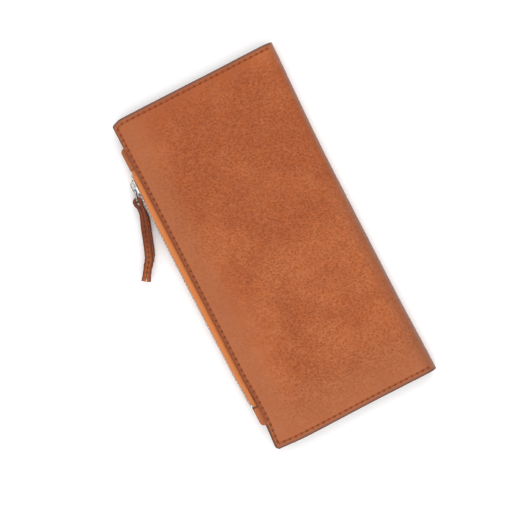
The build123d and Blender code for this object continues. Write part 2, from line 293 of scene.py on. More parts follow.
class Graph:
    """Short names for making nodes, in a material or in a geometry tree."""

    def __init__(self, tree):
        self.tree = tree
        self.nodes = tree.nodes

    def fill(self, node, values):
        """Links or sets a node's inputs, which are given by name or by number."""
        for key, value in values.items():
            if isinstance(value, bpy.types.NodeSocket):
                self.tree.links.new(value, node.inputs[key])
            else:
                node.inputs[key].default_value = value

    def node(self, kind, values=(), **settings):
        made = self.nodes.new(kind)
        for key, value in settings.items():
            setattr(made, key, value)
        self.fill(made, dict(values))
        return made

    def look(self, values):
        """Gives the shader its colour, roughness and so on."""
        self.fill(next(n for n in self.nodes if n.type == "BSDF_PRINCIPLED"), values)

    def attribute(self, name, output="Fac"):
        return self.node("ShaderNodeAttribute", attribute_name=name).outputs[output]

    def math(self, operation, a, b=0.0, c=0.0):
        return self.node("ShaderNodeMath", {0: a, 1: b, 2: c}, operation=operation).outputs[0]

    def plus(self, a, b):
        return self.math("ADD", a, b)

    def minus(self, a, b):
        return self.math("SUBTRACT", a, b)

    def times(self, a, b):
        return self.math("MULTIPLY", a, b)

    def most(self, a, b):
        return self.math("MAXIMUM", a, b)

    def size(self, a):
        return self.math("ABSOLUTE", a)

    def stretched(self, place, factors):
        values = {0: place, 1: factors}
        return self.node("ShaderNodeVectorMath", values, operation="MULTIPLY").outputs[0]

    def ramp(self, value, low, high, out_low=0.0, out_high=1.0):
        """A smooth step from out_low at low to out_high at high."""
        values = {"Value": value, "From Min": low, "From Max": high, "To Min": out_low, "To Max": out_high}
        return self.node("ShaderNodeMapRange", values, interpolation_type="SMOOTHSTEP").outputs["Result"]

    def noise(self, place, scale, detail=2.0, roughness=0.5, distortion=0.0):
        values = {"Vector": place, "Scale": scale, "Detail": detail, "Roughness": roughness}
        return self.node("ShaderNodeTexNoise", {**values, "Distortion": distortion}).outputs[0]

    def cells(self, place, scale, smoothness=0.3):
        values = {"Vector": place, "Scale": scale, "Randomness": 1.0, "Smoothness": smoothness}
        return self.node("ShaderNodeTexVoronoi", values, feature="SMOOTH_F1").outputs["Distance"]

    def split(self, place):
        return self.node("ShaderNodeSeparateXYZ", {0: place}).outputs

    def mix(self, factor, a, b):
        """Mixes two colours."""
        return self.node("ShaderNodeMix", {0: factor, 6: a, 7: b}, data_type="RGBA").outputs[2]

    def coated(self, base, *coats):
        """A colour with more coats over it, each a (share, colour) pair."""
        for share, colour in coats:
            base = self.mix(share, base, colour)
        return base

    def bump(self, height, strength, distance, **normal):
        values = {"Height": height, "Strength": strength, "Distance": distance}
        return self.node("ShaderNodeBump", {**values, **normal}).outputs[0]


def material(name):
    """An empty material and its graph."""
    made = bpy.data.materials.new(name)
    made.use_nodes = True
    return made, Graph(made.node_tree)


def linear(*screen):
    """A screen colour of 0 to 255 as the shader's linear colour."""
    shares = [channel / 255 for channel in screen]
    return (*(s / 12.92 if s <= 0.04045 else ((s + 0.055) / 1.055) ** 2.4 for s in shares), 1.0)


GRAIN_TURN = radians(27)
LEATHER_DEEP = linear(161, 80, 34)
LEATHER_PALE = linear(178, 97, 49)
LEATHER_WARM = linear(172, 84, 30)
# Painted sheen: the paler, duller tone laid over the cover's borders
LEATHER_SHEEN_DULL = linear(165, 93, 52)
# Painted shade: darker colour in the grain's hollows and the stitched grooves
LEATHER_PIT_SHADE = linear(128, 54, 16)
# Painted highlight: paler colour on the tops of the grain
LEATHER_RIDGE_HIGHLIGHT = linear(196, 112, 62)
LEATHER_FLESH = linear(196, 104, 44)
EDGE_PAINT = linear(128, 56, 18)
EDGE_WORN = linear(128, 78, 58)
EDGE_DARK = linear(72, 44, 34)
# Painted reflection: grey where the fold turns away, as the pale surroundings would mirror there
FOLD_REFLECTION_GREY = linear(146, 110, 96)
FOLD_SHADE = linear(118, 74, 56)
# Painted shade: the dark of the needle holes, and of the grooves between a thread's plies
HOLE_SHADE_WARM = linear(108, 42, 10)
HOLE_AND_PLY_SHADE = linear(72, 26, 14)
THREAD_DEEP = linear(152, 76, 36)
THREAD_PALE = linear(174, 92, 46)


def pebbles(graph, place):
    """Height of the tumbled grain from 0 in its pits to 1, with pits about 1.2 mm apart."""
    values = {"Vector": place, "Angle": GRAIN_TURN}
    turned = graph.node("ShaderNodeVectorRotate", values, rotation_type="Z_AXIS").outputs[0]
    wander = graph.stretched(graph.noise(place, 0.12, 1.0), (3, 3, 3))
    shifted = graph.node("ShaderNodeVectorMath", {0: turned, 1: wander}, operation="ADD").outputs[0]
    folds = graph.noise(graph.stretched(shifted, (0.66, 1.05, 0.8)), 1.0, 2.0, 0.55, 0.6)
    cells = graph.cells(graph.stretched(shifted, (0.72, 1.0, 0.8)), 1.0, 0.25)
    valleys = graph.ramp(folds, 0.3, 0.68)
    pits = graph.ramp(cells, 0.1, 0.55)
    return graph.plus(graph.times(valleys, 0.5), graph.times(pits, 0.5))


def hole_row(graph, distance, along, first):
    """1 at each needle hole of a stitched row, 0 elsewhere. The holes are slits along the row."""
    half = STITCH_PITCH / 2
    repeat = graph.times(graph.math("PINGPONG", graph.minus(along, first + half), half), 0.72)
    squares = graph.plus(graph.math("POWER", distance, 2.0), graph.math("POWER", repeat, 2.0))
    return graph.ramp(graph.math("SQRT", squares), 0.8, 0.3)


def leather_cover():
    """Tumbled leather with stitched grooves, needle holes and painted edges. Its colour also holds painted
    light: painted sheen on the borders, paler towards the bottom, painted highlights on the grain's ridges,
    painted shade in the pits, grooves and holes, and a painted grey reflection and painted shade at the
    fold.
    """
    made, graph = material("leather_cover")
    ramp, times, minus, most = graph.ramp, graph.times, graph.minus, graph.most
    flat = graph.attribute("flat", "Vector")
    grain = graph.attribute("grain")
    q, y, _ = graph.split(flat)
    height = pebbles(graph, flat)

    mottle = graph.noise(flat, 0.16, 3.0, 0.6)
    # clouds: random tone, plus a ramp along y that is painted light, making the leather paler towards the
    # bottom end
    clouds = graph.plus(graph.noise(flat, 0.035, 2.0, 0.55), ramp(y, 75, -85, -0.09, 0.12))
    # sheen_border: painted sheen by the open edge and towards the bottom end
    sheen_border = most(ramp(q, OPEN_X + 19, OPEN_X + 7, 0.0, 0.8), ramp(y, -58, -84, 0.0, 0.7))
    # ridge_highlights: painted highlight on the high points of the grain
    ridge_highlights = times(ramp(height, 0.6, 1.0, 0.0, 0.18), grain)
    # pits: painted shade in the hollows of the grain
    pits = times(ramp(height, 0.95, 0.15, 0.0, 0.46), grain)

    end = graph.size(y)
    side_gap = graph.size(minus(q, SIDE_ROW_Q))
    end_gap = graph.size(minus(end, END_ROW_Y))
    on_side = graph.math("LESS_THAN", end, END_ROW_Y)
    on_end = graph.math("LESS_THAN", q, SPINE_Q - 5.5)
    on_end = times(on_end, graph.math("GREATER_THAN", q, SIDE_ROW_Q))
    # The groove masks below carry painted shade along the stitched grooves
    side_groove = times(ramp(side_gap, 1.2, 0.3, 0.0, 0.08), on_side)
    end_groove = times(ramp(end_gap, 1.2, 0.3, 0.0, 0.08), on_end)
    side_holes = times(hole_row(graph, side_gap, y, 0.0), on_side)
    end_holes = times(hole_row(graph, end_gap, q, END_ROW_Q), on_end)

    wander = times(minus(mottle, 0.5), 0.6)
    side_edge = graph.plus(minus(q, OPEN_X), wander)
    end_edge = graph.plus(minus(HALF, end), wander)
    beside_zip = ramp(end, TAB_TOP_Y + 13, TAB_TOP_Y + 10)
    painted = ramp(side_edge, 1.5, 0.9, 0.0, 0.85)
    painted = times(painted, ramp(beside_zip, 0.0, 1.0, 0.3, 1.0))
    shade = times(ramp(q, FOLD_X - 4, FOLD_X + 3), ramp(y, 25, -5, 0.05, 0.32))
    cut = graph.math("MINIMUM", graph.math("MULTIPLY_ADD", beside_zip, 5.0, side_edge), end_edge)
    base = graph.coated(
        graph.mix(ramp(clouds, 0.36, 0.66), LEATHER_DEEP, LEATHER_PALE),
        (ramp(mottle, 0.35, 0.72, 0.0, 0.4), LEATHER_WARM),
        # painted sheen on the borders
        (sheen_border, LEATHER_SHEEN_DULL),
        # painted highlight on the grain's ridges
        (ridge_highlights, LEATHER_RIDGE_HIGHLIGHT),
        # painted shade in the grain's pits
        (pits, LEATHER_PIT_SHADE),
        # painted shade in the stitched grooves
        (most(side_groove, end_groove), LEATHER_PIT_SHADE),
        (ramp(end_edge, 2.0, 0.9, 0.0, 0.9), EDGE_WORN),
        (painted, EDGE_PAINT),
        (shade, FOLD_SHADE),
        # painted reflection: grey over the turn of the fold
        (ramp(q, FOLD_X + 2.5, SPINE_Q - 2, 0.0, 0.75), FOLD_REFLECTION_GREY),
        (ramp(cut, 0.8, 0.3, 0.0, 0.65), EDGE_DARK),
        # painted shade in the needle holes of both stitched rows
        (times(end_holes, 0.85), HOLE_SHADE_WARM),
        (times(side_holes, 0.8), HOLE_AND_PLY_SHADE),
    )

    relief = graph.bump(times(height, grain), 0.9, 0.0004)
    relief = graph.bump(graph.noise(flat, 2.6, 3.0, 0.6), 0.25, 0.00012, Normal=relief)
    holes = most(side_holes, end_holes)
    relief = graph.bump(minus(1.0, holes), 0.5, 0.0003, Normal=relief)
    rough = ramp(mottle, 0.3, 0.7, 0.5, 0.62)
    graph.look({"Base Color": base, "Roughness": rough, "Specular IOR Level": 0.3, "Normal": relief})
    return made


def plain_leather(name, deep, pale, dark, rough=0.5, gloss=0.4):
    """Smooth leather with a fine grain, darker where 'edge' is 1 and paler where 'flesh' is 1."""
    made, graph = material(name)
    flat = graph.attribute("flat", "Vector")
    clouds = graph.noise(flat, 0.11, 3.0, 0.6)
    fibre = graph.noise(graph.stretched(flat, (1.0, 1.0, 3.0)), 1.6, 4.0, 0.65)
    base = graph.coated(
        graph.mix(graph.ramp(clouds, 0.34, 0.68), linear(*deep), linear(*pale)),
        (graph.ramp(fibre, 0.35, 0.75, 0.0, 0.3), linear(*dark)),
        (graph.times(graph.attribute("flesh"), 0.85), LEATHER_FLESH),
        (graph.times(graph.attribute("edge"), 0.9), EDGE_DARK),
    )
    relief = graph.bump(graph.ramp(graph.cells(flat, 1.1), 0.05, 0.5), 0.35, 0.00008)
    relief = graph.bump(fibre, 0.245, 0.0001, Normal=relief)
    rough = graph.ramp(clouds, 0.3, 0.7, rough - 0.06, rough + 0.08)
    graph.look({"Base Color": base, "Roughness": rough, "Specular IOR Level": gloss, "Normal": relief})
    return made


def woven(name, deep, pale, count, strength=0.5):
    """Cloth of crossed threads, count of them to the millimetre, read from 'flat' X and Y."""
    made, graph = material(name)
    flat = graph.attribute("flat", "Vector")
    x, y, _ = graph.split(flat)
    turn = 2 * pi * count
    warp = graph.math("SINE", graph.times(x, turn))
    weft = graph.math("SINE", graph.times(y, turn))
    weave = graph.math("MULTIPLY_ADD", graph.times(warp, weft), 0.5, 0.5)
    slub = graph.noise(graph.stretched(flat, (1.0, 0.12, 1.0)), 1.4)
    deep, pale = linear(*deep), linear(*pale)
    base = graph.mix(graph.times(weave, 0.7), deep, pale)
    base = graph.mix(graph.ramp(slub, 0.35, 0.7, 0.0, 0.35), base, deep)
    relief = graph.bump(weave, strength, 0.0001)
    graph.look({"Base Color": base, "Roughness": 0.85, "Normal": relief})
    graph.look({"Specular IOR Level": 0.2, "Sheen Weight": 0.25})
    return made


def waxed_thread():
    made, graph = material("waxed_thread")
    flat = graph.attribute("flat", "Vector")
    x, y, z = graph.split(flat)
    ply = graph.math("SINE", graph.times(graph.plus(x, graph.plus(y, z)), 11.0))
    base = graph.mix(graph.ramp(graph.noise(flat, 0.5), 0.35, 0.7), THREAD_DEEP, THREAD_PALE)
    # painted shade in the grooves between the thread's plies
    base = graph.mix(graph.ramp(ply, 0.0, -0.9, 0.0, 0.35), base, HOLE_AND_PLY_SHADE)
    graph.look({"Base Color": base, "Roughness": 0.55, "Normal": graph.bump(ply, 0.5, 0.0001)})
    return made


def plated(name, pale, deep, low_rough, high_rough):
    """Plated metal with a little wear."""
    made, graph = material(name)
    flat = graph.attribute("flat", "Vector")
    wear = graph.noise(flat, 0.9, 3.0, 0.6)
    scratches = graph.noise(graph.stretched(flat, (0.6, 6.0, 0.6)), 1.3, 3.0)
    base = graph.mix(graph.ramp(wear, 0.4, 0.75), pale, deep)
    rough = graph.ramp(wear, 0.3, 0.8, low_rough, high_rough)
    relief = graph.bump(scratches, 0.08, 0.00005)
    graph.look({"Base Color": base, "Metallic": 1.0, "Roughness": rough, "Normal": relief})
    return made


# Each skin is a material with the record's slot that it belongs to.
COVER = (leather_cover(), "leather_cover")
INNER = (plain_leather("leather_inner", (150, 82, 48), (172, 98, 60), (128, 62, 34)), "leather_inner")
TAB = (plain_leather("leather_tab", (168, 92, 48), (188, 108, 62), (140, 68, 34), 0.5, 0.3), "leather_tab")
STRAP_TONES = ((102, 44, 20), (122, 56, 26), (66, 26, 12))
STRAP = (plain_leather("leather_strap", *STRAP_TONES, 0.45, 0.22), "leather_pull")
LINING = (woven("lining_cloth", (92, 58, 38), (120, 80, 54), 2.2), "lining_cloth")
TAPE = (woven("zip_tape", (201, 119, 64), (215, 131, 77), 1.6, 0.35), "zip_tape")
THREAD = (waxed_thread(), "thread")
NICKEL = (plated("nickel", (0.5, 0.49, 0.47, 1), (0.2, 0.19, 0.17, 1), 0.08, 0.22), "zip_metal")
TOOTH_METAL = (plated("tooth_metal", (0.4, 0.39, 0.37, 1), (0.22, 0.21, 0.2, 1), 0.2, 0.35), "zip_metal")


def dress(obj, skin, *nodes, body=None):
    """Gives a piece its skin's material, hides the CAD nodes it stands for, and hangs it on the body it
    rides on.
    """
    obj.data.materials.append(skin[0])
    if nodes:
        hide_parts(*nodes)
    if body:
        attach(obj, body)


# The cover's shape

PULL_IN = 0.15
TOP_FLARE = 2.0
BOTTOM_FLARE = 0.7
CORNER_ROUND = 1.3
EDGE_STATIONS = (0.0, 0.08, 0.22, 0.42, 0.7, 1.0, 1.3, 1.6, 1.9, 2.2, 2.5, 2.8, 3.1, 3.5, 4.1)
EDGE_R = 0.42
GROOVE_DEPTH = 0.24
GROOVE_W = 0.55
GRAIN_DEPTH = 0.22
LINING_INSET = 1.2


def outline_shift(q, y, side):
    """How far the hand-made outline strays from a plain rectangle, in X and in Y."""
    left = 0.35 - 0.25 * smooth(60, 95, y)
    right = -PULL_IN + TOP_FLARE * smooth(10, 105, y) ** 1.5 + BOTTOM_FLARE * smooth(-45, -100, y)
    droop = 1.3 * smooth(OPEN_X + 5.5, OPEN_X, q)
    bow = 0.4 * hump(q, -25, 22) - 0.5 * smooth(OPEN_X + 14, OPEN_X, q)
    if side < 0:
        left = left - 0.75 * smooth(-55, -95, y) - 0.55 * smooth(-80, -95, y)
        right = right * 0.8
        droop = droop * 0.4
        bow = bow + 0.35 * smooth(OPEN_X + 30, OPEN_X, q)
    else:
        left = left + 0.7 * smooth(-52, -66, y) - 1.1 * smooth(-77, -92, y)
    share = np.clip((q - OPEN_X) / (FOLD_X - OPEN_X), 0, 1)
    ends = 0.25 * smooth(-78, -92, y) + 0.2 * smooth(78, 92, y)
    shift_y = -droop * smooth(60, HALF, y) - bow * smooth(-60, -HALF, y) - ends
    cut = edge_round(q - OPEN_X, CORNER_ROUND) * smooth(HALF - 7, HALF - 1, np.abs(y))
    return left * (1 - share) + right * share, shift_y - np.sign(y) * cut


def settle(q, y, side):
    """How far the panels stand off their flat plane: a soft crown, and slack corners."""
    if side < 0:
        return np.zeros_like(q + y)
    crown = 0.35 * smooth(OPEN_X, OPEN_X + 28, q) * smooth(FOLD_X + 6, FOLD_X - 24, q)
    crown = crown * smooth(HALF, HALF - 30, np.abs(y))
    ends = -0.9 * smooth(78, HALF, np.abs(y)) * smooth(FOLD_X, FOLD_X - 30, q)
    curl = -0.9 * smooth(OPEN_X + 16, OPEN_X, q) * smooth(HALF - 16, HALF, y)
    waves = 0.12 * np.sin(y / 23 + 0.6) * np.sin(q / 17 + 1.1) * smooth(FOLD_X + 4, FOLD_X - 10, q)
    return crown + ends + curl + waves


def fold_turn(q):
    """How far round the fold the leather has turned, up to a right angle at the spine's middle."""
    return np.clip((q - FOLD_X) / (SPINE_Q - FOLD_X), 0, 1) * pi / 2


def cover_points(q, y, depth, side):
    """Points of the cover, or of anything lying inside it, depth below its outer face."""
    q, y, depth = np.broadcast_arrays(*(np.asarray(v, float) for v in (q, y, depth)))
    shift_x, shift_y = outline_shift(q, y, side)
    reach = MID_Z - depth
    x = np.minimum(q, FOLD_X) + reach * np.sin(fold_turn(q)) + shift_x
    z = MID_Z + side * (reach * np.cos(fold_turn(q)) + settle(q, y, side))
    return np.stack([x, y + shift_y, z], -1)


def cover_outward(q, side):
    """The direction straight out of the leather."""
    return np.stack([np.sin(fold_turn(q)), np.zeros_like(q), side * np.cos(fold_turn(q))], -1)


def bend_round_fold(obj):
    """Bakes the piece's placement into its mesh."""
    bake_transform(obj)


def displaced(obj):
    """Pushes the grain into the mesh itself, along 'out', with the material's own pattern."""
    tree = bpy.data.node_groups.new("grain_relief", "GeometryNodeTree")
    for way in ("INPUT", "OUTPUT"):
        tree.interface.new_socket("Geometry", in_out=way, socket_type="NodeSocketGeometry")
    graph = Graph(tree)
    flat, out = (
        graph.node("GeometryNodeInputNamedAttribute", {"Name": name}, data_type="FLOAT_VECTOR").outputs[0]
        for name in ("flat", "out")
    )
    share = graph.times(graph.minus(pebbles(graph, flat), 0.6), GRAIN_DEPTH * MM)
    values = {0: out, "Scale": share}
    shift = graph.node("ShaderNodeVectorMath", values, operation="SCALE").outputs[0]
    source = graph.node("NodeGroupInput").outputs[0]
    move = graph.node("GeometryNodeSetPosition", {"Geometry": source, "Offset": shift})
    graph.node("NodeGroupOutput", {0: move.outputs[0]})
    obj.modifiers.new("grain_relief", "NODES").node_group = tree
    evaluated = obj.evaluated_get(bpy.context.evaluated_depsgraph_get())
    mesh = bpy.data.meshes.new_from_object(evaluated)
    obj.modifiers.clear()
    obj.data = mesh


def grain_share(q, y):
    """Where the tumbled grain is strong: bold by the spine side, faint by the open edge."""
    bold = 0.4 + 0.6 * smooth(OPEN_X + 4, OPEN_X + 27, q + 6 * np.sin(y / 21))
    bold = bold * (0.65 + 0.35 * smooth(HALF - 4, HALF - 18, y))
    bold = bold * (0.4 + 0.6 * smooth(-HALF, 26 - HALF, y))
    bold = bold * smooth(HALF - 3.2, HALF - 5.5, np.abs(y))
    return bold * smooth(OPEN_X + 2.6, OPEN_X + 4.5, q) * (1 - 0.35 * smooth(FOLD_X - 4, SPINE_Q, q))


def cover_half(side, word):
    """Half the cover leather, from its open edge to the middle of the spine."""
    q = stations(OPEN_X, SPINE_Q + (SPINE_Q - OPEN_X), 0.7, EDGE_STATIONS)
    q = np.append(q[q < SPINE_Q - 0.2], SPINE_Q)
    q, y = grid(q, stations(-HALF, HALF, 0.7, EDGE_STATIONS))
    end = np.abs(y)
    edge = np.minimum(q - OPEN_X, HALF - end)
    side_row = hump(q, SIDE_ROW_Q, GROOVE_W) * (end < END_ROW_Y + 0.3)
    end_row = hump(end, END_ROW_Y, GROOVE_W) * smooth(44.5, 43.0, q) * (q > SIDE_ROW_Q - 0.3)
    depth = edge_round(edge, EDGE_R) + GROOVE_DEPTH * np.maximum(side_row, end_row)
    outer = cover_points(q, y, depth, side)
    inner = cover_points(q, y, COVER_T - 0.6 * edge_round(edge, EDGE_R), side)
    flat = np.stack([q, y, depth * 0], -1)
    obj = closed_grid(f"{word}_cover_leather", outer, inner, flat, 40.0, 50)
    share = grain_share(q, y)
    out = (cover_outward(q, side) * share[..., None]).reshape(-1, 3)
    store(obj, "grain", np.concatenate([share.ravel(), np.zeros(share.size)]))
    store(obj, "out", np.concatenate([out, np.zeros_like(out)]))
    displaced(obj)
    dress(obj, COVER, f"{word}_cover", *["cover_spine"] * (side > 0))
    bend_round_fold(obj)


def lining_half(side, word):
    """Half the cloth that lines the cover, round the fold as the leather does."""
    half_y = HALF - LINING_INSET
    q, y = grid(stations(OPEN_X + LINING_INSET, SPINE_Q, 2.0), stations(-half_y, half_y, 2.5))
    outer = cover_points(q, y, COVER_T + 0.01, side)
    inner = cover_points(q, y, LINING_T, side)
    obj = closed_grid(f"{word}_lining_cloth", outer, inner, np.stack([q, y, q * 0], -1))
    dress(obj, LINING, f"{word}_lining", *["spine_lining"] * (side > 0))
    bend_round_fold(obj)


PANELS = ("bill_panel", "card_slot_1", "card_slot_2", "card_slot_3")
PANEL_STEPS = []
for kind in PANELS:
    panel_low, _ = box(f"front_{kind}")
    PANEL_STEPS.append((panel_low.x, TOP_Z - panel_low.z))
PANEL_HIGH_Q = box("front_bill_panel")[1].x
FIRST_SLOT_Q = PANEL_STEPS[1][0]
CENTRE_SEAM_DEPTH = 0.16


def inner_panel(side, word, kind):
    """A thin leather panel sewn inside a cover, with a creased line along its open edge."""
    low, high = box(f"{word}_{kind}")
    depth = TOP_Z - box(f"front_{kind}")[1].z
    half_y = HALF - 2.0
    q = stations(low.x, PANEL_HIGH_Q, 3.0, (0, 0.08, 0.2, 0.6, 1.1, 1.4, 1.7, 2.2, 3.0))
    q, y = grid(q, stations(-half_y, half_y, 3.0, (0, 0.08, 0.2, 0.6, 1.2)))
    edge = np.minimum(np.minimum(q - low.x, PANEL_HIGH_Q - q), half_y - np.abs(y))
    crease = 0.1 * hump(q, low.x + 1.4, 0.22)
    centre = CENTRE_SEAM_DEPTH * hump(y, 0, 0.8) * (q > FIRST_SLOT_Q + 2)
    below = depth + high.z - low.z - edge_round(edge, 0.2) - crease - centre
    inner = cover_points(q, y, below, side)
    outer = cover_points(q, y, depth, side)
    obj = closed_grid(f"{word}_{kind}_leather", outer, inner)
    store(obj, "edge", np.tile(smooth(0.35, 0.05, edge).ravel(), 2))
    dress(obj, INNER, f"{word}_{kind}", body=word)


def stitch(middle, along, out, length, radius=0.27, sink=0.34):
    """One stitch: a short bowed length of thread whose ends dive into their needle holes."""
    middle, along, out = (np.asarray(v, float) for v in (middle, along, out))
    wobble = random.uniform(-0.05, 0.05)
    side = np.cross(along, out)
    path = []
    for t in (-1.0, -0.82, -0.5, 0.0, 0.5, 0.82, 1.0):
        rise = radius * 0.55 - sink * abs(t) ** 5
        path.append(middle + along * (t * length / 2) + out * rise + side * wobble * t)
    return tube(path, radius, sides=7, ends=0.75)


END_STITCHES = 27
CENTRE_STITCHES = 21


def rows_on_cover():
    """Places of the stitches that hold one cover, on its outer face, and the way each one runs."""
    count = int((END_ROW_Y - 1.5) / STITCH_PITCH)
    places = [(SIDE_ROW_Q, k * STITCH_PITCH, (0, 0.2)) for k in range(-count, count + 1)]
    for k in range(END_STITCHES):
        for end in (-1, 1):
            places.append((END_ROW_Q + k * STITCH_PITCH, end * END_ROW_Y, (0.2, 0)))
    return places


def stack_depth(q):
    """Depth of the topmost panel inside a cover, at q."""
    return [LINING_T, *(top for low_q, top in PANEL_STEPS if q > low_q)][-1]


def cover_stitching(side, word):
    """Thread that shows on the outer face and again on the inner panels."""
    parts = []
    length = STITCH_PITCH - 0.45
    for q, y, ahead in rows_on_cover():
        faces = [(GROOVE_DEPTH, 1)]
        if q <= FOLD_X - 3:
            faces.append((stack_depth(q), -1))
        for depth, facing in faces:
            here = cover_points(q, y, depth, side)
            there = cover_points(q + ahead[0], y + ahead[1], depth, side)
            out = cover_outward(np.array(q), side) * facing
            parts.append(stitch(here, unit(there - here), out, length))
    for k in range(CENTRE_STITCHES):
        q = FIRST_SLOT_Q + 3.0 + k * STITCH_PITCH
        here = cover_points(q, 0.0, stack_depth(q) - CENTRE_SEAM_DEPTH, side)
        parts.append(stitch(here, (1, 0, 0), -cover_outward(np.array(q), side), length))
    obj = joined(f"{word}_cover_thread", parts)
    dress(obj, THREAD, f"{word}_cover_stitching")
    bend_round_fold(obj)


for side, word in SIDES:
    cover_half(side, word)
    lining_half(side, word)
    for kind in PANELS:
        inner_panel(side, word, kind)
    cover_stitching(side, word)


# The zipped pocket

WALL_LOW, WALL_HIGH = box("pocket_front_wall")
WALL_HALF_T = 2.0
WALL_T = 0.9
WALL_GROOVE = 0.18
RIM = 1.5
MOUTH_ROW = 2.0
WALL_STATIONS = (0, 0.08, 0.2, 0.4, 0.8, 1.2, 1.6, 2.0, 2.6, 3.4, 4.4)


def slab(name, x, y, low_z, high_z, sharp_angle=40):
    """A closed solid between two heights, which are measured from the wallet's middle plane."""
    faces = [np.stack([x, y, MID_Z + z], -1) for z in (high_z, low_z)]
    return closed_grid(name, *faces, sharp_angle=sharp_angle)


def pocket_wall(side, word):
    """One wall of the pocket: flat at the mouth, and pinched down where it is sewn."""
    low, high = WALL_LOW, WALL_HIGH
    x, y = grid(*(stations(low[k], high[k], 1.6, WALL_STATIONS) for k in (0, 1)))
    sewn = np.minimum(high.x - x, high.y - np.abs(y))
    pinch = smooth(10, 1.5, sewn) * smooth(low.x + 8, low.x + 18, x)
    edge = np.minimum(sewn, x - low.x)
    rim_row = hump(sewn, RIM, 0.5) * smooth(low.x + 6, low.x + 10, x)
    mouth_row = hump(x, low.x + MOUTH_ROW, 0.5) * (np.abs(y) < 67)
    crown = WALL_HALF_T - (WALL_HALF_T - WALL_T - 0.03) * pinch
    top = crown - edge_round(edge, 0.3) - WALL_GROOVE * np.maximum(rim_row, mouth_row)
    bottom = crown - WALL_T + 0.5 * edge_round(edge, 0.3)
    obj = slab(f"pocket_{word}_wall_leather", x, y, side * bottom, side * top)
    store(obj, "edge", np.tile(smooth(0.45, 0.05, edge).ravel(), 2))
    dress(obj, INNER, f"pocket_{word}_wall", body="page")


def pocket_lining():
    """A cloth bag hanging inside the pocket, open towards the zip."""
    low, high = box("pocket_lining")
    reach = (high.z - low.z) / 2 - 0.3
    turn_x = high.x - reach - 0.3
    profile = [(x, reach) for x in np.linspace(low.x, turn_x, 30)]
    for t in np.linspace(pi / 2, -pi / 2, 9)[1:-1]:
        profile.append((turn_x + reach * cos(t), reach * sin(t)))
    profile = np.array(profile + [(x, -reach) for x in np.linspace(turn_x, low.x, 30)])
    y = stations(low.y + 0.3, high.y - 0.3, 3.0)
    layers = []
    for offset in (0.12, -0.12):
        line = profile + leftward(profile) * offset
        x, along = grid(line[:, 0], y)
        ripple = 0.1 * np.sin(along / 3.7) * np.sin(x / 5.1)
        z = MID_Z + line[:, 1:] + ripple * np.sign(-line[:, 1:])
        layers.append(np.stack([x, along, z], -1))
    obj = closed_grid("pocket_lining_cloth", *layers)
    dress(obj, LINING, "pocket_lining", body="page")


def hinge_strip():
    """The leather strip between the pocket's sewn edge and the middle of the spine."""
    low, high = box("page_hinge_strip")
    x, y = grid(stations(low.x - 2.0, high.x + 0.3, 0.6), stations(low.y, high.y, 3.0, (0, 0.1, 0.3, 0.8)))
    flare = 0.4 + 0.9 * smooth(high.x - 1.4, high.x + 0.2, x) ** 2
    sway = 0.12 * np.sin(y / 31)
    obj = slab("page_hinge_leather", x, y, sway - flare, sway + flare)
    dress(obj, INNER, "page_hinge_strip", body="page")


RIM_STITCHES = range(-24, 25)
RIM_END_STITCHES = range(19)
MOUTH_STITCHES = range(-20, 21)


def pocket_stitching():
    """Thread along the pocket's sewn rim and along both sides of its mouth."""
    x, y = WALL_HIGH.x - RIM, WALL_HIGH.y - RIM
    rows = [(WALL_T + 0.03, (x, k * STITCH_PITCH), (0, 1, 0)) for k in RIM_STITCHES]
    for k in RIM_END_STITCHES:
        rows += [(WALL_T + 0.03, (x - 2.5 - k * STITCH_PITCH, end * y), (1, 0, 0)) for end in (-1, 1)]
    mouth_x = WALL_LOW.x + MOUTH_ROW
    rows += [(WALL_HALF_T, (mouth_x, k * STITCH_PITCH - 0.8), (0, 1, 0)) for k in MOUTH_STITCHES]
    parts = []
    for side in (-1, 1):
        for height, place, along in rows:
            middle = (*place, MID_Z + side * (height - WALL_GROOVE))
            parts.append(stitch(middle, along, (0, 0, side), STITCH_PITCH - 0.5))
    dress(joined("pocket_thread", parts), THREAD, "pocket_stitching", body="page")


TAB_DEPTH = 9.0
TAB_R = 2.2
TAB_EDGES = (0, 0.08, 0.2, 0.45, 0.7, 1.0, 1.3, 1.6)


def end_tab(word, way, fold_width, cut_line, flesh):
    """A leather tab folded over the end of the zip, rounded at its outer corner.
    way is 1 at the top end of the zip and -1 at the bottom end."""
    low, high = box(f"{word}_end_tab")
    closed_y, open_y = (high.y, low.y) if way > 0 else (low.y, high.y)
    x = stations(low.x, low.x + TAB_DEPTH, 0.7, (0, 0.1, 0.25, 0.5, 0.9))
    x, y = grid(x, stations(low.y, high.y, 0.8, TAB_EDGES))
    in_from_side = x - low.x
    pull = edge_round((closed_y - y) * way, TAB_R)
    open_end = np.abs(y - open_y)
    fold = np.clip(in_from_side / fold_width, 0, 1)
    full = 1.5 + 1.1 * smooth(9, 1, open_end)
    half = 0.6 + (full - 0.6) * np.sqrt(np.clip(fold * (2 - fold), 0, 1))
    half = half - 0.5 * edge_round(np.minimum(y - low.y, high.y - y), 0.35)
    half = half - (half - 1.0) * smooth(low.x + 3.2, low.x + 6.5, x)
    half = half + 0.15 * np.sin((y - low.y) / (high.y - low.y) * pi)
    x = x + pull * (1 - np.clip(in_from_side / 6, 0, 1))
    obj = slab(f"{word}_end_tab_leather", x, y, -half, half, 60)
    share = np.maximum(cut_line * smooth(1.0, 0.5, open_end), 0.4 * smooth(0.6, 0.1, in_from_side))
    store(obj, "edge", np.tile(share.ravel(), 2))
    store(obj, "flesh", np.full(2 * x.size, flesh))
    dress(obj, TAB, f"{word}_end_tab", body="page")


for side, word in SIDES:
    pocket_wall(side, word)
pocket_lining()
hinge_strip()
pocket_stitching()
end_tab("top", 1, fold_width=1.3, cut_line=0.35, flesh=0.0)
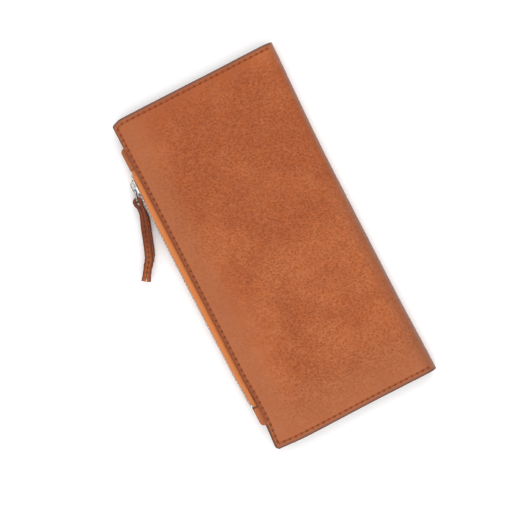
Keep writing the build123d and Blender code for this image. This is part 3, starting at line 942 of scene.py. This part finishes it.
# The bottom tab's flesh share is painted light: it makes this tab paler than the top one
end_tab("bottom", -1, fold_width=0.7, cut_line=0.95, flesh=0.45)


# The zip

TAPE_HIGH = box("zipper_tape_front")[1]
TAPE_T = 0.4
TAPE_ENDS = ((TAB_TOP_Y + 3, "upper"), (TAB_BOTTOM_Y - 3, "lower"))
ROOT_Z = 1.9
WALL_X = LIP.x + 1.0
BEND_Z = abs(LIP.z - MID_Z)
BEND_R = 0.9
BULB_Z = TAPE_HIGH.z - MID_Z - 0.2
ROLL_FULLNESS = 0.6
TOOTH_PITCH = 2.0
CHAIN_HALF = 64


def chain_bow(y):
    """The chain bows outwards a little in the middle of its length."""
    return -0.15 - 0.35 * (1 - (y / CHAIN_HALF) ** 2)


def pinch_at_tabs(y):
    """1 along the zip, and less where it goes flat into the tabs."""
    top = smooth(TAB_TOP_Y + 0.5, TAB_TOP_Y - 4, y)
    return 0.5 + 0.5 * np.minimum(top, smooth(TAB_BOTTOM_Y - 0.5, TAB_BOTTOM_Y + 4, y))


def draw_in(y):
    """How far the chain draws in towards the wallet at its two ends."""
    return 0.9 * smooth(63.8, TAB_TOP_Y, y) + 0.25 * smooth(-50, -60, y) + 0.95 * smooth(-66, -74, y)


def crest_in(y):
    """How much further the rolled cloth draws in towards the two tabs."""
    return 0.4 * smooth(47, 55, y) + 1.0 * smooth(63.5, 67, y) + 1.1 * smooth(-52, -65, y)


def tape_profile():
    """The rolled part of one tape, from the lip's bend line over and down to the teeth."""
    half_span = (WALL_X - CHAIN_X) / 2
    points = []
    for turn in np.linspace(0, pi, 17):
        across = copysign(abs(cos(turn)) ** ROLL_FULLNESS, cos(turn))
        rise = sin(turn) ** ROLL_FULLNESS
        points.append((WALL_X - half_span + across * half_span, BEND_Z + rise * (BULB_Z - BEND_Z)))
    return np.array(points + [(CHAIN_X, z) for z in (2.5, 2.2, ROOT_Z - 0.5)])


def sewn_profile():
    """The part of one tape that is sewn under the pocket's wall, out to the bend line."""
    run_z = abs(box("pocket_lining")[1].z - MID_Z) - 0.2
    points = [(x, run_z) for x in np.linspace(TAPE_HIGH.x, WALL_X + BEND_R, 8)]
    for t in np.linspace(0.3, 1.5, 5):
        points.append((WALL_X + BEND_R * (1 - sin(t)), run_z + BEND_R * (1 - cos(t))))
    return np.array(points + [(WALL_X, z) for z in np.linspace(run_z + 1.0, BEND_Z, 4)])


def tape_piece(name, profile, y, side, *nodes, body=None):
    """A stretch of tape with this profile, run along Y."""
    layers = []
    for offset in (TAPE_T / 2, -TAPE_T / 2):
        line = profile + leftward(profile) * offset
        across, along = grid(line[:, 0], y)
        out = np.clip((LIP.x - across) / (LIP.x - CHAIN_X), 0, 1)
        crest = out * smooth(1.9, 3.0, line[:, 1:])
        x = across + out * (chain_bow(along) + draw_in(along)) + crest * crest_in(along)
        z = line[:, 1:] * (0.2 + 0.8 * pinch_at_tabs(along))
        layers.append(np.stack([x, along, MID_Z + side * z], -1))
    u, v = grid(run_along(profile), y)
    obj = closed_grid(name, *layers, np.stack([u, v, u * 0 + side * 20], -1))
    dress(obj, TAPE, *nodes, body=body)
    return obj


def zip_tape(side, word):
    """The sewn strip rides on the page. The rolled strip is made as two pieces, one from each end of the zip
    to its middle.
    """
    name, whole = f"zip_tape_{word}", stations(TAPE_ENDS[1][0], TAPE_ENDS[0][0], 1.0)
    tape_piece(f"{name}_sewn", sewn_profile(), whole, side, f"zipper_tape_{word}", body="page")
    for end, part in TAPE_ENDS:
        y = stations(*sorted((0.0, end)), 1.0)
        open_lip(tape_piece(f"{name}_{part}", tape_profile(), y, side))


def open_lip(obj):
    """Bakes the piece's placement into its mesh."""
    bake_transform(obj)


# One side of a tooth as (Y, Z), from its root down to its head
TOOTH_SIDE = [(0.46, 1.9), (0.44, 0.95), (0.3, 0.45), (0.46, -0.05), (0.3, -0.5)]


def tooth(y, side):
    outline = TOOTH_SIDE + [(-dy, dz) for dy, dz in TOOTH_SIDE[::-1]]
    base = (CHAIN_X - TOOTH_T / 2 + float(chain_bow(y) + draw_in(y)), y, MID_Z)
    return prism(upright((dy, side * dz) for dy, dz in outline), base, (TOOTH_T, 0, 0), 0.13)


def teeth(side, word):
    low, high = box(f"zipper_teeth_{word}")
    places = np.arange(low.y + 0.475, high.y, TOOTH_PITCH)
    for end, part in ((1, "upper"), (-1, "lower")):
        obj = joined(f"zip_teeth_{word}_{part}", [tooth(y, side) for y in places if (y >= 0) == (end > 0)])
        dress(obj, TOOTH_METAL, *[f"zipper_teeth_{word}"] * (end > 0))
        open_lip(obj)


def clip(low, high):
    """A small metal clip with softened edges, closed over the edge of the tape."""
    shift = float(draw_in((low[1] + high[1]) / 2))
    corners = ((low, low), (high, low), (high, high), (low, high))
    outline = [(across[0], along[1], 0) for across, along in corners]
    return prism(outline, (shift, 0, low[2]), (0, 0, high[2] - low[2]), 0.25)


def stops():
    low, high = box("top_stops")
    gap = 0.6
    parts = [clip(low, (high.x, high.y, MID_Z - gap)), clip((low.x, low.y, MID_Z + gap), high)]
    dress(joined("zip_top_stops", parts), TOOTH_METAL, "top_stops", body="page")
    dress(joined("zip_bottom_stop", [clip(*box("bottom_stop"))]), TOOTH_METAL, "bottom_stop", body="page")


PLATE_T = 0.6
FLANGE_W = 0.5


def slider_body():
    """Two shaped plates, their side flanges, and the neck between them."""
    low, high = box("slider_body")
    middle = (low.y + high.y) / 2
    top = high.y - middle
    wide = (high.z - low.z) / 2
    narrow = wide - 0.7
    gap = (high.x - low.x) / 2 - PLATE_T
    edge = [(top, wide * 0.72), (top * 0.8, wide), (0.2, wide), (-top * 0.75, narrow), (-top, narrow * 0.72)]
    edge = [(middle + y, z) for y, z in edge]
    plate = upright(edge + [(y, -z) for y, z in edge[::-1]])
    rail = [(y, z * 0.97) for y, z in edge[1:4]] + [(y, z - FLANGE_W) for y, z in edge[3:0:-1]]
    parts = []
    for face in (-1, 1):
        base = (CHAIN_X + (gap if face > 0 else -gap - PLATE_T), 0, MID_Z)
        parts.append(prism(plate, base, (PLATE_T, 0, 0), 0.2, segments=3))
        for side in (-1, 1):
            start = (CHAIN_X + face * (gap + 0.1), 0, MID_Z)
            parts.append(prism(upright((y, side * z) for y, z in rail), start, (-face * 0.6, 0, 0), 0.08))
    neck = [(0, 0.5), (-1.1, 0.8), (-2.3, 0.0), (-1.1, -0.8), (0, -0.5)]
    neck = upright((high.y + y, z) for y, z in neck)
    parts.append(prism(neck, (CHAIN_X - gap - 0.1, 0, MID_Z), (2 * gap + 0.2, 0, 0), 0.08))
    dress(joined("zip_slider", parts), NICKEL, "slider_body", body="slider")


def slider_bridge():
    """The arch on the slider's outer face that holds the link."""
    low, high = box("slider_bridge")
    thick = 0.6
    rise = high.x - low.x - thick / 2
    foot = [(high.x + 0.2, 0.5), (high.x - rise * 0.6, 0.35), (high.x - rise, 1.5)]
    path = smooth_path([(x, low.y + y) for x, y in foot] + [(x, high.y - y) for x, y in foot[::-1]], 26)
    z = stations(low.z, high.z, 0.5, (0, 0.08, 0.2))
    half = thick / 2 - edge_round(np.minimum(z - low.z, high.z - z), 0.18)
    layers = []
    for sign in (1, -1):
        place = path[:, None] + leftward(path)[:, None] * (sign * half)[:, None]
        layers.append(np.concatenate([place, np.broadcast_to(z[:, None], (len(path), len(z), 1))], -1))
    obj = closed_grid("zip_slider_bridge", *layers, sharp_angle=60)
    dress(obj, NICKEL, "slider_bridge", body="slider")


def link():
    """A round wire bent into a long ring that stands on edge."""
    near, far = pivot("link_swing"), pivot("strap_swing")
    reach = (far - near).length / 2
    ahead = (far - near).normalized()
    low, high = box("pull_link")
    wire, bend = 0.5, 1.2
    half_w = (high.z - low.z) / 2 - wire
    points = []
    for sx, sz, start in ((1, 1, 0), (-1, 1, 90), (-1, -1, 180), (1, -1, 270)):
        for turn in np.radians(np.linspace(start, start + 90, 7)):
            along = sx * (reach - bend) + bend * cos(turn)
            rise = sz * (half_w - bend) + bend * sin(turn)
            points.append(tuple((near + far) / 2 + ahead * along + Vector((0, 0, rise))))
    obj = joined("pull_link_wire", [tube(points, wire, sides=12, closed=True)])
    dress(obj, NICKEL, "pull_link", body="link")


for side, word in SIDES:
    zip_tape(side, word)
    teeth(side, word)
stops()
slider_body()
slider_bridge()
link()


# The pull strap

STRAP_ROUTE = [(-52.3, 52.5), (-52.4, 45.1), (-55.0, 36.9), (-59.2, 25.2), (-63.3, 19.5), (-67.2, 13.8)]
STRAP_CENTRE = smooth_path(STRAP_ROUTE, 90)
STRAP_LOW, STRAP_HIGH = box("pull_strap")
STRAP_HALF_W = (STRAP_HIGH.z - STRAP_LOW.z) / 2
SEAM_PITCH = 2.7
SEAM_START = 8.0
SEAM_STITCHES = 10
HEAD_TILT = radians(62)


def strap_thickness(gone):
    return 1.75 + 0.3 * smooth(4, 14, gone)


def strap_lean(gone):
    """The strap rolls a little after its head and comes upright again past its bend."""
    return radians(15) * smooth(1, 12, gone) * smooth(33, 27, gone)


def between_stitches(gone):
    """1 half-way between two stitches of the seam, and 0 at a stitch."""
    return 0.5 + 0.5 * np.cos(2 * pi * (gone - SEAM_START) / SEAM_PITCH)


def strap_line():
    """The folded strip's middle line: up one side, round the link's bar, and down the other."""
    centre = STRAP_CENTRE
    gone = np.linspace(0, run_along(centre)[-1], len(centre))
    length = gone[-1]
    head = strap_thickness(0) / 2 + 0.62
    parted = 0.11 * between_stitches(gone) ** 2 * smooth(SEAM_START - 2, SEAM_START, gone)
    closed = strap_thickness(gone) / 2 + 0.02 + parted
    wide = closed + (head - closed) * smooth(3.0, 0.8, gone) + 0.3 * smooth(length - 3, length, gone)
    keep = gone > 0.4
    legs = [(centre + sign * leftward(centre) * wide[:, None])[keep] for sign in (1, -1)]
    start, finish = (atan2(*(leg[0] - centre[0])[::-1]) for leg in legs)
    while finish < start:
        finish += 2 * pi
    turn = np.linspace(start, finish, 22)[1:-1, None]
    reach = head + 0.35 * np.maximum(0.0, np.cos(turn - HEAD_TILT)) ** 3
    arc = centre[0] + reach * np.concatenate([np.cos(turn), np.sin(turn)], axis=1)
    line = np.concatenate([legs[0][::-1], arc, legs[1]])
    away = np.concatenate([gone[keep][::-1], np.zeros(len(arc)), gone[keep]])
    return line, away, length


def strap_section(thickness):
    """Points round the strip's cross-section: offset through its thickness, and height."""
    r, half_t, half_w = 0.28, thickness / 2, STRAP_HALF_W
    bend = [(half_t - r + r * cos(t), half_w - r + r * sin(t)) for t in (0.5, 1.0)]
    points = [(half_t, h) for h in np.linspace(-half_w + r, half_w - r, 8)] + bend
    points += [(a, half_w) for a in np.linspace(half_t - r, -half_t + r, 5)]
    points += [(-a, h) for a, h in bend[::-1]]
    return points + [(-a, -h) for a, h in points]


def leaned(points, lean):
    """Rolls a strip standing on edge about its own middle line, so that one face turns upwards."""
    flat = points[..., :2].reshape(-1, 2)
    nearest = np.linalg.norm(flat[:, None] - STRAP_CENTRE[None], axis=2).argmin(1)
    sideways = leftward(STRAP_CENTRE)[nearest]
    offset = ((flat - STRAP_CENTRE[nearest]) * sideways).sum(1)
    height = points[..., 2].ravel()
    angle = np.broadcast_to(lean, points.shape[:2]).ravel()
    shift = offset * (np.cos(angle) - 1) - height * np.sin(angle)
    z = MID_Z + offset * np.sin(angle) + height * np.cos(angle)
    return np.column_stack([flat + sideways * shift[:, None], z]).reshape(points.shape)


def paint_strap(obj, away, length):
    """Painted outer edges, painted shade in the eye and in the gap along the seam, and pale raw leather
    towards the strap's end.
    """
    section = np.array(strap_section(1.0))
    across = np.clip(section[:, 0] / 0.5, -1, 1)[None]
    cut = smooth(STRAP_HALF_W - 0.3, STRAP_HALF_W - 0.02, np.abs(section[:, 1]))[None]
    low_end = (smooth(14, 30, away) + 0.5 * smooth(length - 5, length - 1, away))[:, None]
    core = cut * smooth(0.7, -0.6, across) * (0.06 + 0.6 * low_end)
    raw_side = smooth(-0.5, -0.9, across) * (1 - cut) * (0.3 + 0.6 * low_end)
    painted = 0.75 * cut * smooth(0.1, 0.8, across)
    # eye_shade: painted shade on the inner faces of the loop round the link
    eye_shade = smooth(-0.3, -0.8, across) * smooth(8, 4, away)[:, None]
    # seam: painted shade in the gap between the strap's two layers, darkest between stitches
    seam = between_stitches(away) ** 2 * smooth(SEAM_START, SEAM_START + 4, away)
    seam = 0.8 * cut * smooth(0.3, -0.4, across) * seam[:, None]
    store(obj, "flesh", np.maximum(core, raw_side).ravel())
    store(obj, "edge", np.maximum(np.maximum(painted, eye_shade), seam).ravel())


def strap():
    line, away, length = strap_line()
    rings = []
    for place, out, gone in zip(line, -leftward(line), away):
        rings.append([(*(place + out * a), h) for a, h in strap_section(float(strap_thickness(gone)))])
    rings = np.array(rings)
    placed_rings = leaned(rings, strap_lean(away)[:, None]).reshape(-1, 3)
    obj = mesh_object("pull_strap_leather", placed_rings, ring_faces(*rings.shape[:2]), 60)
    store(obj, "flat", rings.reshape(-1, 3))
    paint_strap(obj, away, length)
    dress(obj, STRAP, "pull_strap", body="strap")


def strap_stitching():
    """The seam's thread, which shows on both faces of the folded strap."""
    parts = []
    path = smooth_path(STRAP_ROUTE, 200)
    for step in range(SEAM_STITCHES):
        at = SEAM_START + (step + 0.5) * SEAM_PITCH
        k = int(np.searchsorted(run_along(path), at))
        forward = unit(path[k + 1] - path[k - 1])
        sideways = np.array([-forward[1], forward[0]])
        for height in (-1.6, 1.6):
            for sign in (1, -1):
                flat = path[k] + sideways * sign * (float(strap_thickness(at)) + 0.04)
                place = leaned(np.array([[[*flat, height]]]), strap_lean(at))[0, 0]
                out = (*(sideways * sign), 0)
                parts.append(stitch(place, (*forward, 0), out, 2.2, radius=0.2, sink=0.25))
    dress(joined("pull_strap_thread", parts), THREAD, "strap_stitching", body="strap")


strap()
strap_stitching()


# Floor, light and camera

FLOOR_HALF = 3.0
FLOOR_DROP = 0.0001
WORLD_LOW = 0.12
WORLD_HIGH = 1.2
SOFTBOX = 0.8
LIGHTS = (("key_softbox", (-0.3, -0.42, 1.0), 3.3), ("fill_softbox", (0.38, 0.58, 1.0), 2.95))
CAMERA_LENS = 120.0
SENSOR = 36.0
VIEW_WIDTH = 263.6
VIEW_TURN = 27.2
VIEW_CENTRE = (-10.5, 0.2)


def floor():
    mesh = bpy.data.meshes.new("floor")
    turns = ((-1, -1), (1, -1), (1, 1), (-1, 1))
    mesh.from_pydata([(x * FLOOR_HALF, y * FLOOR_HALF, -FLOOR_DROP) for x, y in turns], [], [(0, 1, 2, 3)])
    made, graph = material("floor_white")
    graph.look({"Base Color": (0.96, 0.96, 0.96, 1), "Roughness": 0.9, "Specular IOR Level": 0.1})
    graph.look({"Emission Color": (1, 1, 1, 1), "Emission Strength": 0.07})
    mesh.materials.append(made)
    placed("floor", mesh)


def lights():
    """A pale sky that is brighter overhead, and two softboxes."""
    world = bpy.data.worlds.new("studio")
    world.use_nodes = True
    graph = Graph(world.node_tree)
    height = graph.split(graph.node("ShaderNodeTexCoord").outputs["Generated"])[2]
    strength = graph.ramp(height, 0.25, 0.8, WORLD_LOW, WORLD_HIGH)
    graph.fill(graph.nodes["Background"], {"Color": (1, 1, 1, 1), "Strength": strength})
    bpy.context.scene.world = world
    for name, place, power in LIGHTS:
        data = bpy.data.lights.new(name, "AREA")
        data.size = SOFTBOX
        data.energy = power
        lamp = placed(name, data)
        lamp.location = place
        lamp.rotation_mode = "QUATERNION"
        lamp.rotation_quaternion = (-Vector(place)).to_track_quat("-Z", "Y")


def camera():
    data = bpy.data.cameras.new("camera")
    data.lens = CAMERA_LENS
    data.sensor_width = SENSOR
    data.clip_start, data.clip_end = 0.01, 20
    cam = placed("camera", data)
    distance = VIEW_WIDTH / 2 * CAMERA_LENS / (SENSOR / 2)
    cam.location = Vector((*VIEW_CENTRE, TOP_Z + distance)) * MM
    cam.rotation_euler = (0, 0, -radians(VIEW_TURN))
    bpy.context.scene.camera = cam


floor()
lights()
camera()
scene = bpy.context.scene
scene.view_settings.view_transform = "Standard"
scene.view_settings.look = "None"
